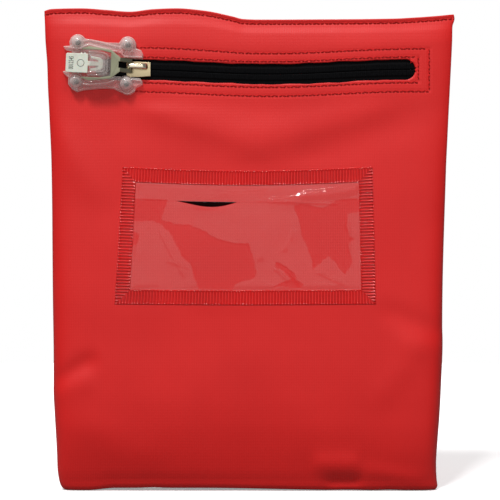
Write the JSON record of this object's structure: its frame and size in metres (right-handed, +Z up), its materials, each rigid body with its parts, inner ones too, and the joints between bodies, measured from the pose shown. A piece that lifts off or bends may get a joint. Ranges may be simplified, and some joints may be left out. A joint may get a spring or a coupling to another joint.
{
  "type": "cash deposit bag",
  "caption": "Upright coated-cloth deposit bag, boxed at its base, with a zip across the top, a clear lock housing with a one-use seal and a clear card window.",
  "frame": {"origin": "the middle of the flat base, on the surface that the bag stands on", "axes": "+Z up the bag, -Y out of the face with the zip and window, +X to the right of someone facing it"},
  "size_m": [0.268, 0.0304, 0.311],
  "materials": {
    "red_cloth": "PVC-coated woven cloth, satin",
    "seam_tape": "woven tape",
    "zip_tape": "woven black zip tape",
    "zip_coil": "nylon coil",
    "zip_stop": "plain",
    "red_thread": "twisted polyester thread",
    "clear_film": "soft clear film, glossy",
    "weld_border": "clear film welded to red cloth, ribbed, glossy",
    "slider_nickel": "pale gold nickel, polished",
    "puller_steel": "satin",
    "clear_plastic": "moulded clear plastic, glossy",
    "rivet_steel": "plain",
    "seal_white": "moulded, satin"
  },
  "bodies": {
    "bag": {"front_panel": "red_cloth", "back_panel": "red_cloth", "side_seam_tape_left": "seam_tape", "side_seam_tape_right": "seam_tape", "bottom_seam_tape": "seam_tape", "top_seam_tape": "seam_tape", "zip_tape_upper": "zip_tape", "zip_tape_lower": "zip_tape", "zip_coil_upper": "zip_coil", "zip_coil_lower": "zip_coil", "zip_end_stop": "zip_stop", "zip_start_stops": "zip_stop", "zip_stitch_inner": "red_thread", "zip_stitch_outer": "red_thread", "top_edge_stitch": "red_thread", "window_weld_border": "weld_border", "window_film": "clear_film", "lock_housing": "clear_plastic", "rivet_caps": "clear_plastic", "seal_keeper": "clear_plastic", "rivets": "rivet_steel", "backing_strip_upper": "rivet_steel", "backing_strip_lower": "rivet_steel"},
    "slider": {"slider_body": "slider_nickel", "slider_bridge": "slider_nickel"},
    "puller": {"puller": "puller_steel"},
    "seal": {"seal": "seal_white"}
  },
  "joints": [
    {"name": "slider_travel", "type": "slide", "parent": "bag", "child": "slider", "axis": [1, 0, 0], "range_m": [0, 0.166]},
    {"name": "puller_swing", "type": "hinge", "parent": "slider", "child": "puller", "pos_m": [-0.076, -0.0083, 0.2753], "axis": [0.0436, 0, 0.999], "range_deg": [0, 120]},
    {"name": "seal_withdrawal", "type": "slide", "parent": "bag", "child": "seal", "axis": [-0.999, 0, 0.0436], "range_m": [0, 0.045]}
  ]
}
